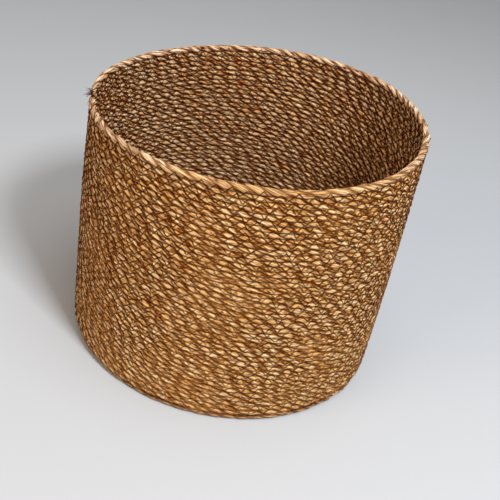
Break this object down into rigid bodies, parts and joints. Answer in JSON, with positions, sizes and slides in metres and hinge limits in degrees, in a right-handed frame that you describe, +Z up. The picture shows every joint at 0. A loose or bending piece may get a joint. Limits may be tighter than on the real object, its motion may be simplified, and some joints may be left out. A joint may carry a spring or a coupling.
{
  "type": "seagrass storage basket",
  "caption": "Round open storage basket with an upright wall, coiled from twisted seagrass cord and sewn round to round with a zigzag lockstitch.",
  "frame": {"origin": "on the floor under the middle of the base", "axes": "+Z up along the basket's axis, out of its mouth; -X towards the seam, where the wall starts and the rim's cord ends"},
  "size_m": [0.3012, 0.3012, 0.2412],
  "materials": {
    "seagrass": "dry twisted grass cord, golden tan with browner blades, matt with a faint sheen",
    "pale_seagrass": "dry twisted grass cord, pale beige, smoother and a little glossier",
    "sewing_thread": "spun polyester thread, golden brown, matt"
  },
  "bodies": {
    "root": {"base_bobbin_thread": "sewing_thread", "base_cord": "seagrass", "base_needle_thread": "sewing_thread", "corner_thread": "sewing_thread", "rim_cord": "pale_seagrass", "rim_tail": "pale_seagrass", "wall_bobbin_thread": "sewing_thread", "wall_cord_lower": "seagrass", "wall_cord_middle": "seagrass", "wall_cord_upper": "seagrass", "wall_needle_thread": "sewing_thread"}
  },
  "joints": []
}
